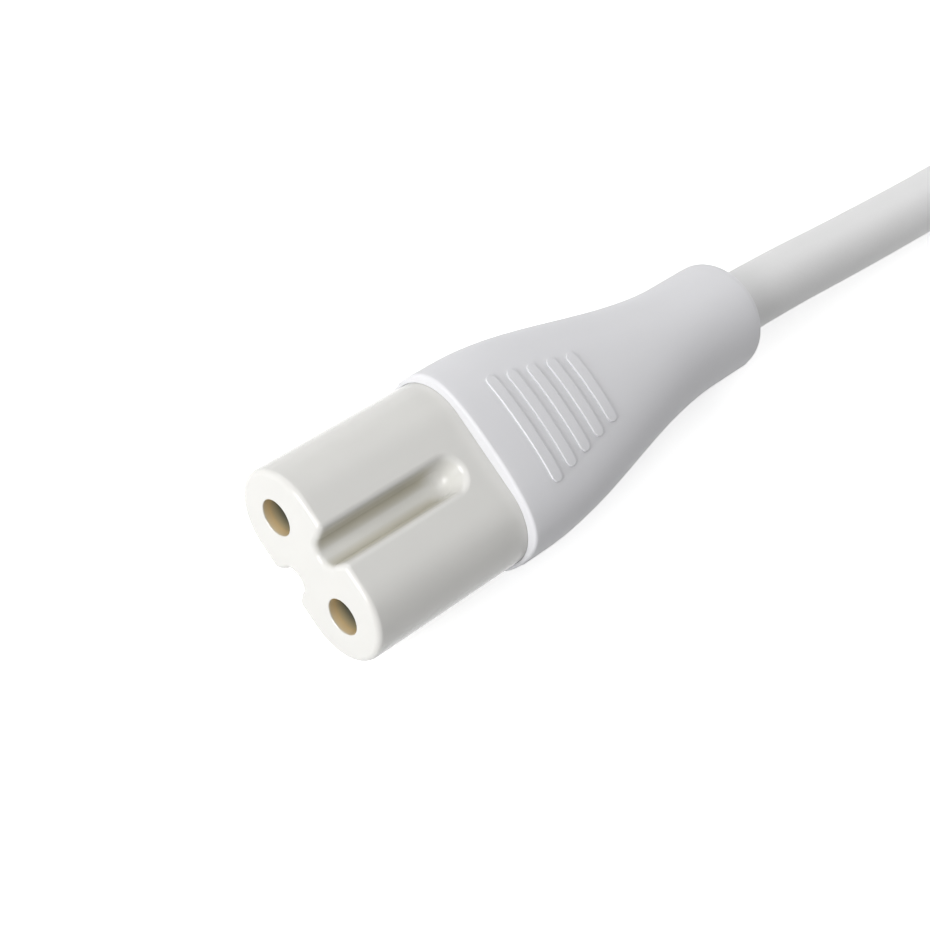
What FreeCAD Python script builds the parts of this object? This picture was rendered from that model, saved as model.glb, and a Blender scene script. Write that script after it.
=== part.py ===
import FreeCAD, Part
import math
import os

from FreeCAD import Vector

# Figure eight power connector on its lead, in millimetres.
# The connector lies on its broad side. Its mating face looks along -X and its lead leaves along +X.
# The origin is on the surface under the middle of the connector, and z = 0 is that surface.

# Insert: the rigid body with the figure eight outline
POLE_SPACING = 8.6
INSERT_FROM_POLE = 3.75
INSERT_HEIGHT = 8.88
INSERT_REACH = 15.2
INSERT_EDGE = 0.5
LIP_SEAT_DEPTH = 2.0
NECK_LENGTH = 1.4
NECK_STEP = 0.85
FLANGE_LENGTH = 1.4
FLANGE_STEP = 0.4
PIN_HOLE_RADIUS = 1.5
PIN_HOLE_DEPTH = 2.6
PIN_HOLE_EDGE = 0.18

# Grooves along the top and the underside of the insert
GROOVE_RUN = 11.4
GROOVE_FLOOR_RADIUS = 1.05
GROOVE_MOUTH_HALF_WIDTH = 1.45
GROOVE_DEPTH_TOP = 2.5
GROOVE_DEPTH_UNDER = 2.1
GROOVE_LIP_RADIUS = 0.6

# Contacts, rolled from brass strip
PIN_RADIUS = 1.2
CONTACT_PIN_FREE = 0.05
STRIP_THICKNESS = 0.35
CONTACT_CHAMBER_FREE = 0.12
CONTACT_SETBACK = 0.4
CONTACT_SLEEVE_LENGTH = 12.0
CONTACT_LEAD_IN = 0.4
CONTACT_SLIT_WIDTH = 0.5
CONTACT_SLIT_LENGTH = 9.5
TROUGH_LENGTH = 3.4
STRAND_CRIMP_LENGTH = 3.4
STRAND_CRIMP_RADIUS = 1.0
CRIMP_STEP_LENGTH = 1.6
CORE_CRIMP_LENGTH = 3.0
CORE_CRIMP_GAP = 0.6

# Inner mould and grip
INNER_MOULD_WALL = 0.45
INNER_MOULD_HEIGHT = 6.8
INNER_MOULD_REAR_WIDTH = 7.0
INNER_MOULD_REAR_HEIGHT = 6.2
INNER_MOULD_CORNER = 2.4
INNER_MOULD_LENGTH = 17.0
GRIP_LENGTH = 31.9
GRIP_LIP_MARGIN = 0.35
GRIP_LIP_HEIGHT = 11.1
GRIP_LIP_FLATNESS = 0.86
GRIP_LIP_UPRIGHTNESS = 0.68
GRIP_LIP_EDGE = 0.28
GRIP_TAPER_START = 2.8
GRIP_TAPER_LENGTH = 23.8
GRIP_STATIONS = 6
COLLAR_RADIUS = 4.86
COLLAR_EDGE = 1.35
COLLAR_MOUTH = 0.25
SEAM_GAP = 0.1
SEAM_DEPTH = 0.9

# Lead: two insulated cores in a round jacket
LEAD_DIAMETER = 5.6
CORE_RADIUS = 1.1
CORE_HALF_SPACING = 1.25
CORE_STRAIGHT = 0.6
STRAND_RADIUS = 0.55
STRAND_LOBES = 6
LEAD_BORE_GAP = 0.08

# Route of the free lead: distance behind the mating face, distance to the side, share of its fall
RUN_ROUTE = [(51.0, 0.0, 0.0), (68.0, -0.75, 0.6), (85.5, -1.2, 1.0), (103.0, -1.2, 1.0)]
BEND_SHARE = 0.45

# Hank: turns shaped like a bow, two columns wide and three layers high, pinched by a tie
HANK_LOBE_RADIUS = 17.0
HANK_LOBE_ANGLE = 40.0
HANK_WAIST_RADIUS = 27.0
HANK_COLUMNS = 2
HANK_LAYERS = 3

# Tie round the waist of the hank
TIE_WIDTH = 4.0
TIE_THICKNESS = 0.6
TIE_TAIL_LENGTH = 14.0
TIE_TAIL_WIDTH = 2.6
TIE_TAIL_HEIGHT = 2.2

# Route of the tail on the hank, from the hank's middle: along, to the side, above the top turns
TAIL_ROUTE = [(-24.0, 16.0, 1.0), (-10.3, 10.7, 5.4)]
TAIL_CLEAR_OF_PLUG = 5.0
TAIL_IN_PLUG = 8.0

# Flat two-pin plug, lying on the hank
PLUG_WIDTH = 35.3
PLUG_HEIGHT = 13.7
PLUG_FLAT_WIDTH = 26.1
PLUG_BLOCK_LENGTH = 19.0
PLUG_EDGE = 1.0
PLUG_GRIP_LENGTH = 19.0
PLUG_GRIP_WIDTH = 29.0
PLUG_GRIP_HEIGHT = 12.4
PLUG_RIBS = 4
PLUG_RIB_WIDTH = 1.2
PLUG_RIB_PITCH = 3.0
PLUG_RIB_DEPTH = 0.5
PLUG_RIB_MARGIN = 4.0
PLUG_COLLAR_WIDTH = 11.0
PLUG_COLLAR_HEIGHT = 9.2
PLUG_COLLAR_LENGTH = 4.0
PLUG_FACE_FROM_HANK_MIDDLE = 44.0
PLUG_SIDE_FROM_HANK_MIDDLE = 8.6
BRIDGE_WIDTH = 28.0
BRIDGE_HEIGHT = 8.6
BRIDGE_CORNER = 3.0
BRIDGE_DEPTH = 8.0
PLUG_PIN_SPACING = 18.6
PLUG_PIN_TIP_SPACING = 17.5
PLUG_PIN_LENGTH = 19.0
PLUG_PIN_RADIUS = 2.0
PLUG_PIN_CORE_RADIUS = 1.45
PLUG_PIN_TIP = 1.6
PLUG_PIN_COLLAR_RADIUS = 2.2
PLUG_PIN_COLLAR_LENGTH = 2.0
PLUG_PIN_BARREL_LENGTH = 4.5
PLUG_PIN_BARREL_WALL = 0.5
SLEEVE_LENGTH = 10.0
SLEEVE_RADIUS = 1.75
SLEEVE_ROOT = 1.5

# Reach of a cubic curve's middle points that makes a quarter circle, and the distance taken as touching
ROUND = 4 / 3 * (math.sqrt(2) - 1)
NEAR = 0.005

INSERT_WIDTH = POLE_SPACING + 2 * INSERT_FROM_POLE
GRIP_LIP_WIDTH = INSERT_WIDTH + 2 * GRIP_LIP_MARGIN
FACE_X = -(INSERT_REACH + GRIP_LENGTH) / 2
AXIS_Z = GRIP_LIP_HEIGHT / 2
LEAD_RADIUS = LEAD_DIAMETER / 2
CONTACT_BORE = PIN_RADIUS + CONTACT_PIN_FREE
CONTACT_OUTER = CONTACT_BORE + STRIP_THICKNESS
CHAMBER_RADIUS = CONTACT_OUTER + CONTACT_CHAMBER_FREE
CORE_CRIMP_RADIUS = CORE_RADIUS + STRIP_THICKNESS
INNER_MOULD_WIDTH = POLE_SPACING + 2 * (CORE_CRIMP_RADIUS + INNER_MOULD_WALL)
INSERT_LENGTH = INSERT_REACH + LIP_SEAT_DEPTH + NECK_LENGTH + FLANGE_LENGTH
JACKET_START = INSERT_LENGTH + INNER_MOULD_LENGTH
HANK_TOP = HANK_LAYERS * LEAD_DIAMETER

# Where each length of the contact starts, behind the mating face
SLEEVE_START = PIN_HOLE_DEPTH + CONTACT_SETBACK
TROUGH_START = SLEEVE_START + CONTACT_SLEEVE_LENGTH
STRAND_CRIMP_START = TROUGH_START + TROUGH_LENGTH
CRIMP_STEP_START = STRAND_CRIMP_START + STRAND_CRIMP_LENGTH
CORE_CRIMP_START = CRIMP_STEP_START + CRIMP_STEP_LENGTH
CORE_CRIMP_END = CORE_CRIMP_START + CORE_CRIMP_LENGTH

ALONG = Vector(1, 0, 0)
UP = Vector(0, 0, 1)


def at(distance, side=0.0, above=0.0):
    """A point by its distance behind the mating face, to the side of and above the connector's axis."""
    return Vector(FACE_X + distance, side, AXIS_Z + above)


def rod(start, radius, length, direction=ALONG):
    return Part.makeCylinder(radius, length, start, direction)


def tube(start, outer, inner, length, direction=ALONG):
    return rod(start, outer, length, direction).cut(rod(start, inner, length, direction))


def wire_of(*edges):
    return Part.Wire([e.toShape() for e in edges])


def stadium(centre, width, height):
    """An outline with two flats and fully rounded ends, across the lead's direction."""
    flat = (width - height) / 2
    radius = height / 2

    def spot(y, z):
        return centre + Vector(0, y, z)

    return wire_of(
        Part.LineSegment(spot(-flat, radius), spot(flat, radius)),
        Part.Arc(spot(flat, radius), spot(flat + radius, 0), spot(flat, -radius)),
        Part.LineSegment(spot(flat, -radius), spot(-flat, -radius)),
        Part.Arc(spot(-flat, -radius), spot(-flat - radius, 0), spot(-flat, radius)),
    )


def rounded_rectangle(centre, width, height, corner):
    """A rectangle with round corners, across the lead's direction."""
    y, z = width / 2 - corner, height / 2 - corner
    slant = corner * math.sqrt(0.5)
    edges = []
    for side_y, side_z in ((1, 1), (1, -1), (-1, -1), (-1, 1)):
        middle = centre + Vector(0, side_y * y, side_z * z)
        ends = [middle + Vector(0, 0, side_z * corner), middle + Vector(0, side_y * corner, 0)]
        if side_y * side_z < 0:
            ends.reverse()
        edges.append((ends[0], middle + Vector(0, side_y * slant, side_z * slant), ends[1]))
    parts = []
    for k, (start, through, end) in enumerate(edges):
        parts.append(Part.Arc(start, through, end))
        parts.append(Part.LineSegment(end, edges[(k + 1) % 4][0]))
    return wire_of(*parts)


def full_section(centre, half_width, half_height, flatness, uprightness):
    """A closed outline of four equal curves: an ellipse at ROUND, flatter above or more upright beyond it."""
    quarters = []
    for side_y, side_z in ((1, 1), (1, -1), (-1, -1), (-1, 1)):
        y, z = side_y * half_width, side_z * half_height
        poles = [Vector(0, 0, z), Vector(0, y * flatness, z), Vector(0, y, z * uprightness), Vector(0, y, 0)]
        if side_y * side_z < 0:
            poles.reverse()
        curve = Part.BezierCurve()
        curve.setPoles([centre + pole for pole in poles])
        quarters.append(curve)
    return wire_of(*quarters)


def prism(outline, length, direction=ALONG):
    return Part.Face(outline).extrude(direction * length)


def belt(corners, radius, x):
    """The outline of a band pulled tight round equal circles at the given corners, clockwise from above."""
    parts = []
    count = len(corners)
    for k, corner in enumerate(corners):
        before, after = corners[k - 1], corners[(k + 1) % count]
        normals = []
        for start, end in ((before, corner), (corner, after)):
            run = (end[0] - start[0], end[1] - start[1])
            size = math.hypot(*run)
            normals.append((-run[1] / size, run[0] / size))
        middle = (normals[0][0] + normals[1][0], normals[0][1] + normals[1][1])
        size = math.hypot(*middle)
        out = [normals[0], (middle[0] / size, middle[1] / size), normals[1]]
        parts.append([Vector(x, corner[0] + radius * n[0], corner[1] + radius * n[1]) for n in out])
    edges = []
    for k, (start, through, end) in enumerate(parts):
        edges.append(Part.Arc(start, through, end))
        edges.append(Part.LineSegment(end, parts[(k + 1) % count][0]))
    return wire_of(*edges)


def chain(points):
    """A path of straight runs joined by tangent arcs, and the radii of the arcs."""
    edges = []
    radii = []
    start = points[0]
    for before, corner, after in zip(points, points[1:], points[2:]):
        incoming, outgoing = corner - before, after - corner
        reach = BEND_SHARE * min(incoming.Length, outgoing.Length)
        half_turn = incoming.getAngle(outgoing) / 2
        radius = reach / math.tan(half_turn)
        incoming.normalize()
        outgoing.normalize()
        entry, leave = corner - incoming * reach, corner + outgoing * reach
        inward = outgoing - incoming
        inward.normalize()
        centre = corner + inward * (radius / math.cos(half_turn))
        edges.append(Part.LineSegment(start, entry))
        edges.append(Part.Arc(entry, centre - inward * radius, leave))
        radii.append(radius)
        start = leave
    edges.append(Part.LineSegment(start, points[-1]))
    return wire_of(*edges), radii


def swept(path, radius):
    """A round tube along a path, mitred where the path has a corner."""
    first = path.Edges[0]
    start, direction = first.valueAt(first.FirstParameter), first.tangentAt(first.FirstParameter)
    ring = Part.Wire([Part.Circle(start, direction, radius).toShape()])
    return path.makePipeShell([ring], True, False, 1)


def edges_at(shape, test):
    """The edges whose middle passes the test."""
    found = []
    for edge in shape.Edges:
        middle = edge.valueAt((edge.FirstParameter + edge.LastParameter) / 2)
        if test(middle):
            found.append(edge)
    return found


def groove(depth, side):
    """The space of one groove: a round floor, leaning walls and a ball-nosed end. side is +1 on top."""
    floor = INSERT_HEIGHT / 2 - depth
    over = INSERT_HEIGHT / 2 + GROOVE_FLOOR_RADIUS
    wall_foot = floor + GROOVE_FLOOR_RADIUS
    slant = GROOVE_FLOOR_RADIUS * math.sqrt(0.5)
    mouth = GROOVE_MOUTH_HALF_WIDTH
    widen = (mouth - GROOVE_FLOOR_RADIUS) * (over - wall_foot) / (INSERT_HEIGHT / 2 - wall_foot)
    top = GROOVE_FLOOR_RADIUS + widen

    def spot(x, y, z):
        return at(x, y, side * z)

    def outline(x, full):
        middle = spot(x, 0, floor)
        right_foot = spot(x, GROOVE_FLOOR_RADIUS, wall_foot)
        right_top = spot(x, top, over)
        half = [
            Part.Arc(middle, spot(x, slant, wall_foot - slant), right_foot),
            Part.LineSegment(right_foot, right_top),
        ]
        if not full:
            axis_top = spot(x, 0, over)
            return wire_of(*half, Part.LineSegment(right_top, axis_top), Part.LineSegment(axis_top, middle))
        left_foot = spot(x, -GROOVE_FLOOR_RADIUS, wall_foot)
        left_top = spot(x, -top, over)
        return wire_of(
            *half,
            Part.LineSegment(right_top, left_top),
            Part.LineSegment(left_top, left_foot),
            Part.Arc(left_foot, spot(x, -slant, wall_foot - slant), middle),
        )

    run = prism(outline(-INSERT_EDGE, True), GROOVE_RUN + INSERT_EDGE)
    nose = Part.Face(outline(GROOVE_RUN, False)).revolve(at(GROOVE_RUN), UP, 360)
    return run.fuse(nose)


def insert_steps():
    """The lengths of the insert behind the mating face, each with how much smaller than the front it is."""
    seat_end = INSERT_REACH + LIP_SEAT_DEPTH
    return [
        (0.0, seat_end, 0.0),
        (seat_end, NECK_LENGTH, NECK_STEP),
        (seat_end + NECK_LENGTH, FLANGE_LENGTH, FLANGE_STEP),
    ]


def insert_blank():
    blank = None
    for start, length, step in insert_steps():
        piece = prism(stadium(at(start), INSERT_WIDTH - 2 * step, INSERT_HEIGHT - 2 * step), length)
        blank = piece if blank is None else blank.fuse(piece)
    return blank.removeSplitter()


def connector_insert():
    """Rigid figure eight body: grooves with rounded lips, rounded front, stepped chambers for contacts."""
    body = insert_blank()
    for depth, side in ((GROOVE_DEPTH_TOP, 1), (GROOVE_DEPTH_UNDER, -1)):
        body = body.cut(groove(depth, side))
    body = body.removeSplitter()
    surface = INSERT_HEIGHT / 2
    reach = GROOVE_RUN + 2 * GROOVE_MOUTH_HALF_WIDTH

    def on_groove_lip(p):
        level = abs(abs(p.z - AXIS_Z) - surface) < NEAR
        return level and NEAR < p.x - FACE_X < reach and abs(p.y) < 2 * GROOVE_MOUTH_HALF_WIDTH

    body = body.makeFillet(GROOVE_LIP_RADIUS, edges_at(body, on_groove_lip))
    body = body.makeFillet(INSERT_EDGE, edges_at(body, lambda p: abs(p.x - FACE_X) < NEAR))
    for pole in poles():
        start = at(0, pole)
        body = body.cut(rod(start, PIN_HOLE_RADIUS, INSERT_LENGTH))
        body = body.cut(rod(at(PIN_HOLE_DEPTH, pole), CHAMBER_RADIUS, INSERT_LENGTH))
        edge_reach = PIN_HOLE_RADIUS + NEAR
        mouth = edges_at(body, lambda p: abs(p.x - FACE_X) < NEAR and abs(p.y - pole) < edge_reach)
        body = body.makeChamfer(PIN_HOLE_EDGE, mouth)
    return body


def poles():
    return (POLE_SPACING / 2, -POLE_SPACING / 2)


def lower_half_ring(x, side, outer, inner):
    def spot(radius, angle):
        return at(x, side + radius * math.cos(angle), radius * math.sin(angle))

    down = -math.pi / 2
    return wire_of(
        Part.Arc(spot(outer, 0), spot(outer, down), spot(outer, math.pi)),
        Part.LineSegment(spot(outer, math.pi), spot(inner, math.pi)),
        Part.Arc(spot(inner, math.pi), spot(inner, down), spot(inner, 0)),
        Part.LineSegment(spot(inner, 0), spot(outer, 0)),
    )


def folded_outline(x, side, radius, inset):
    """The outline of a crimp whose two wings are rolled over into the wire, or of the wire inside it."""
    lobe = radius / 2

    def spot(y, z):
        return at(x, side + y, z)

    reach = radius - inset
    bulge = lobe - inset
    parts = [
        Part.Arc(spot(-reach, 0), spot(0, -reach), spot(reach, 0)),
        Part.Arc(spot(reach, 0), spot(lobe, bulge), spot(inset, 0)),
    ]
    if inset > 0:
        parts.append(Part.Arc(spot(inset, 0), spot(0, -inset), spot(-inset, 0)))
    parts.append(Part.Arc(spot(-inset, 0), spot(-lobe, bulge), spot(-reach, 0)))
    return wire_of(*parts)


def contact(side):
    """Rolled brass contact: slit sleeve with a lead-in, trough, folded conductor crimp, open core crimp."""
    sleeve = tube(at(SLEEVE_START, side), CONTACT_OUTER, CONTACT_BORE, CONTACT_SLEEVE_LENGTH)
    wide = CONTACT_BORE + STRIP_THICKNESS / 2
    lead_in = Part.makeCone(wide, CONTACT_BORE, CONTACT_LEAD_IN, at(SLEEVE_START, side), ALONG)
    slit_start = at(SLEEVE_START, side - CONTACT_SLIT_WIDTH / 2, -2 * CONTACT_OUTER)
    slit = Part.makeBox(CONTACT_SLIT_LENGTH, CONTACT_SLIT_WIDTH, 4 * CONTACT_OUTER, slit_start)
    sleeve = sleeve.cut(lead_in).cut(slit)

    crimp_inner = STRAND_CRIMP_RADIUS - STRIP_THICKNESS
    halves = [
        (TROUGH_START, CONTACT_OUTER, CONTACT_BORE),
        (STRAND_CRIMP_START, STRAND_CRIMP_RADIUS, crimp_inner),
        (CRIMP_STEP_START, STRAND_CRIMP_RADIUS, crimp_inner),
        (CORE_CRIMP_START, CORE_CRIMP_RADIUS, CORE_RADIUS),
    ]
    rings = [lower_half_ring(x, side, outer, inner) for x, outer, inner in halves]
    trough = Part.makeLoft([rings[0], rings[1]], True, True)
    step = Part.makeLoft([rings[2], rings[3]], True, True)

    folded = prism(folded_outline(STRAND_CRIMP_START, side, STRAND_CRIMP_RADIUS, 0), STRAND_CRIMP_LENGTH)
    space = prism(
        folded_outline(STRAND_CRIMP_START, side, STRAND_CRIMP_RADIUS, STRIP_THICKNESS), STRAND_CRIMP_LENGTH
    )
    core_crimp = tube(at(CORE_CRIMP_START, side), CORE_CRIMP_RADIUS, CORE_RADIUS, CORE_CRIMP_LENGTH)
    gap_start = at(CORE_CRIMP_START, side - CORE_CRIMP_GAP / 2, 0)
    gap = Part.makeBox(CORE_CRIMP_LENGTH, CORE_CRIMP_GAP, 2 * CORE_CRIMP_RADIUS, gap_start)
    return sleeve.fuse([trough, folded.cut(space), step, core_crimp.cut(gap)]).removeSplitter()


def strands(side):
    """The bared copper end: lobed by its strands, and pressed to the crimp's inside shape in the crimp."""
    end = CORE_CRIMP_START
    lobe = STRAND_RADIUS / 3
    free = rod(at(STRAND_CRIMP_START, side), 2 * lobe, end - STRAND_CRIMP_START)
    for k in range(STRAND_LOBES):
        angle = 2 * math.pi * k / STRAND_LOBES
        centre = at(STRAND_CRIMP_START, side + 2 * lobe * math.cos(angle), 2 * lobe * math.sin(angle))
        free = free.fuse(rod(centre, lobe, end - STRAND_CRIMP_START))
    pressed = prism(
        folded_outline(STRAND_CRIMP_START, side, STRAND_CRIMP_RADIUS, STRIP_THICKNESS), STRAND_CRIMP_LENGTH
    )
    loose = free.common(rod(at(CRIMP_STEP_START, side), STRAND_CRIMP_RADIUS, end))
    return pressed.fuse(loose).removeSplitter()


def core_path(wide_end, held, narrow_end):
    """A core's line: straight over the length held at its wide end, a slanting run, a short straight."""
    forward = ALONG * math.copysign(1, narrow_end.x - wide_end.x)
    start, end = wide_end + forward * (held + CORE_STRAIGHT), narrow_end - forward * CORE_STRAIGHT
    return Part.makePolygon([wide_end, start, end, narrow_end])


def connector_core(side):
    narrow = math.copysign(CORE_HALF_SPACING, side)
    path = core_path(at(CORE_CRIMP_START, side), CORE_CRIMP_LENGTH, at(JACKET_START, narrow))
    return swept(path, CORE_RADIUS)


def inner_mould_blank():
    crimp_end = CORE_CRIMP_END + CORE_STRAIGHT
    sections = [
        rounded_rectangle(at(INSERT_LENGTH), INNER_MOULD_WIDTH, INNER_MOULD_HEIGHT, INNER_MOULD_CORNER),
        rounded_rectangle(at(crimp_end), INNER_MOULD_WIDTH, INNER_MOULD_HEIGHT, INNER_MOULD_CORNER),
        rounded_rectangle(
            at(JACKET_START), INNER_MOULD_REAR_WIDTH, INNER_MOULD_REAR_HEIGHT, INNER_MOULD_CORNER
        ),
    ]
    return Part.makeLoft(sections, True, True)


def connector_inner_mould(cores):
    """First moulding, round the crimps and the cores."""
    body = inner_mould_blank()
    for pole, core in zip(poles(), cores):
        body = body.cut(rod(at(INSERT_LENGTH, pole), CORE_CRIMP_RADIUS, CORE_CRIMP_END - INSERT_LENGTH))
        body = body.cut(core)
    return body


def blend(start, end, share):
    return start + (end - start) * share


def eased(share):
    """A share from 0 to 1 that starts and ends gently."""
    return share * share * (3 - 2 * share)


def grip_section(share):
    """The grip's outline at a share of its taper: the width eases in and out, the height falls evenly."""
    ease = eased(share)
    return full_section(
        at(INSERT_REACH + GRIP_TAPER_START + GRIP_TAPER_LENGTH * share),
        blend(GRIP_LIP_WIDTH / 2, COLLAR_RADIUS, ease),
        blend(GRIP_LIP_HEIGHT / 2, COLLAR_RADIUS, share),
        blend(GRIP_LIP_FLATNESS, ROUND, ease),
        blend(GRIP_LIP_UPRIGHTNESS, ROUND, ease),
    )


def connector_grip():
    """Soft moulded grip, lofted from a wide lip round the insert to the round collar round the lead."""
    sections = [grip_section(k / (GRIP_STATIONS - 1)) for k in range(GRIP_STATIONS)]
    taper = Part.makeLoft(sections, True, False)
    lip = prism(sections[0], -GRIP_TAPER_START)
    collar = prism(sections[-1], GRIP_LENGTH - GRIP_TAPER_START - GRIP_TAPER_LENGTH)
    body = taper.fuse([lip, collar])
    front, back = FACE_X + INSERT_REACH, FACE_X + INSERT_REACH + GRIP_LENGTH
    body = body.makeFillet(GRIP_LIP_EDGE, edges_at(body, lambda p: abs(p.x - front) < NEAR))
    body = body.makeFillet(COLLAR_EDGE, edges_at(body, lambda p: abs(p.x - back) < NEAR))
    seam_width, seam_height = INSERT_WIDTH + 2 * SEAM_GAP, INSERT_HEIGHT + 2 * SEAM_GAP
    seam = prism(stadium(at(INSERT_REACH - SEAM_DEPTH), seam_width, seam_height), 2 * SEAM_DEPTH)
    bore = rod(at(JACKET_START), LEAD_RADIUS + LEAD_BORE_GAP, INSERT_REACH + GRIP_LENGTH)
    body = body.cut(seam).cut(insert_blank()).cut(inner_mould_blank()).cut(bore)

    def on_mouth(p):
        return abs(p.x - back) < NEAR and math.hypot(p.y, p.z - AXIS_Z) < LEAD_RADIUS + 2 * LEAD_BORE_GAP

    return body.makeChamfer(COLLAR_MOUTH, edges_at(body, on_mouth))


def run_points():
    fall = AXIS_Z - LEAD_RADIUS
    return [at(JACKET_START)] + [at(distance, side, -fall * share) for distance, side, share in RUN_ROUTE]


def hank_lobe_offset():
    """Half the distance between the centres of the hank's two lobes."""
    angle = math.radians(HANK_LOBE_ANGLE)
    sin, cos = math.sin(angle), math.cos(angle)
    fall = HANK_LOBE_RADIUS * cos - LEAD_RADIUS - HANK_WAIST_RADIUS * (1 - cos)
    return (HANK_WAIST_RADIUS + HANK_LOBE_RADIUS) * sin + fall / math.tan(angle)


def hank_middle():
    """The hank's middle on the surface, so that the run meets the outer column at the top of a lobe."""
    end = run_points()[-1]
    outer = HANK_LOBE_RADIUS + (HANK_COLUMNS - 1) * LEAD_DIAMETER
    return Vector(end.x + hank_lobe_offset(), end.y - outer, 0)


def bow(offset, z):
    """The hank's outline at a height, moved outward from the inner column's line by the offset."""
    angle = math.radians(HANK_LOBE_ANGLE)
    sin, cos = math.sin(angle), math.cos(angle)
    lobe = HANK_LOBE_RADIUS + offset
    waist = HANK_WAIST_RADIUS - offset
    narrow = LEAD_RADIUS + offset
    shift = hank_lobe_offset()
    middle = hank_middle() + UP * z

    def spot(x, y):
        return middle + Vector(x, y, 0)

    edges = []
    for end in (1, -1):
        tangent_x, tangent_y = end * (shift - lobe * sin), end * lobe * cos
        waist_x, waist_y = end * waist * sin, end * (narrow + waist * (1 - cos))
        edges.append(Part.Arc(spot(-waist_x, waist_y), spot(0, end * narrow), spot(waist_x, waist_y)))
        edges.append(Part.LineSegment(spot(waist_x, waist_y), spot(tangent_x, tangent_y)))
        edges.append(
            Part.Arc(spot(tangent_x, tangent_y), spot(end * (shift + lobe), 0), spot(tangent_x, -tangent_y))
        )
        edges.append(Part.LineSegment(spot(tangent_x, -tangent_y), spot(waist_x, -waist_y)))
    return wire_of(*edges)


def lobe_hole(end):
    """The open eye inside one lobe: round, with two straight sides that meet towards the waist."""
    angle = math.radians(HANK_LOBE_ANGLE)
    radius = HANK_LOBE_RADIUS - LEAD_RADIUS
    middle = hank_middle() + Vector(end * hank_lobe_offset(), 0, -1)
    touch_x, touch_y = -end * radius * math.sin(angle), radius * math.cos(angle)
    tip = middle + Vector(-end * radius / math.sin(angle), 0, 0)
    upper, lower = middle + Vector(touch_x, touch_y, 0), middle + Vector(touch_x, -touch_y, 0)
    return wire_of(
        Part.Arc(upper, middle + Vector(end * radius, 0, 0), lower),
        Part.LineSegment(lower, tip),
        Part.LineSegment(tip, upper),
    )


def waist_corners():
    """Centres of the outer turns at the hank's waist, side and height, clockwise seen along the lead."""
    middle = hank_middle()
    low = LEAD_RADIUS + TIE_THICKNESS
    inner, outer = LEAD_RADIUS, LEAD_RADIUS + (HANK_COLUMNS - 1) * LEAD_DIAMETER
    top = low + (HANK_LAYERS - 1) * LEAD_DIAMETER
    shoulder = top - LEAD_DIAMETER
    right = [(inner, top), (outer, shoulder), (outer, low)]
    left = [(-y, z) for y, z in reversed(right)]
    return [(middle.y + y, z) for y, z in right + left]


def cord_hank(run, tail):
    """The outer shape of the put-away turns: the top layer has only the inner column."""
    full = HANK_COLUMNS - 1
    low_height = (HANK_LAYERS - 1) * LEAD_DIAMETER
    body = prism(bow(full * LEAD_DIAMETER + LEAD_RADIUS, 0), low_height, UP)
    body = body.fuse(prism(bow(LEAD_RADIUS, low_height), LEAD_DIAMETER, UP))
    for end in (1, -1):
        body = body.cut(prism(lobe_hole(end), 2 * HANK_TOP, UP))
    middle = hank_middle()
    reach = 2 * HANK_COLUMNS * LEAD_DIAMETER
    corner = Vector(middle.x - TIE_WIDTH / 2, middle.y - reach, -HANK_TOP)
    slab = Part.makeBox(TIE_WIDTH, 2 * reach, 3 * HANK_TOP, corner)
    waist = prism(belt(waist_corners(), LEAD_RADIUS, middle.x - TIE_WIDTH / 2), TIE_WIDTH)
    body = body.cut(slab).fuse(waist)
    return body.cut(run).cut(tail).removeSplitter()


def hank_tie():
    """Plastic-coated wire tie: a tight band round the waist, and its twisted ends lying on the turns."""
    middle = hank_middle()
    start = middle.x - TIE_WIDTH / 2
    outer = prism(belt(waist_corners(), LEAD_RADIUS + TIE_THICKNESS, start), TIE_WIDTH)
    inner = prism(belt(waist_corners(), LEAD_RADIUS, start), TIE_WIDTH)
    band = outer.cut(inner)
    top = HANK_TOP + TIE_THICKNESS
    corner = Vector(start - TIE_TAIL_LENGTH, middle.y - LEAD_RADIUS - TIE_TAIL_WIDTH / 2, top)
    ends = Part.makeBox(TIE_TAIL_LENGTH + TIE_WIDTH / 2, TIE_TAIL_WIDTH, TIE_TAIL_HEIGHT, corner)
    ends = ends.makeFillet(TIE_TAIL_HEIGHT / 3, edges_at(ends, lambda p: abs(p.x - middle.x) > TIE_WIDTH / 2))
    return band.fuse(ends.cut(inner)).removeSplitter()


def plug_face():
    """The middle of the plug's face, lying flat on the top layer of the hank."""
    shift = Vector(PLUG_FACE_FROM_HANK_MIDDLE, PLUG_SIDE_FROM_HANK_MIDDLE, HANK_TOP + PLUG_HEIGHT / 2)
    return hank_middle() + shift


def in_plug(distance, side=0.0, above=0.0):
    """A point by its distance in front of the plug's face, to the side of and above the plug's axis."""
    return plug_face() + Vector(distance, side, above)


def tail_points():
    """Tail of the lead: from the top of the hank's lobe up on to the hank and straight into the plug."""
    middle = hank_middle()
    start = middle + Vector(-hank_lobe_offset(), HANK_LOBE_RADIUS, HANK_TOP - LEAD_RADIUS)
    on_hank = [middle + Vector(along, side, HANK_TOP + above) for along, side, above in TAIL_ROUTE]
    rear = PLUG_BLOCK_LENGTH + PLUG_GRIP_LENGTH
    return [start] + on_hank + [in_plug(-rear - TAIL_CLEAR_OF_PLUG), in_plug(-plug_jacket_end())]


def plug_jacket_end():
    """Where the jacket ends inside the plug, behind its face."""
    return PLUG_BLOCK_LENGTH + PLUG_GRIP_LENGTH - TAIL_IN_PLUG


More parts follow.
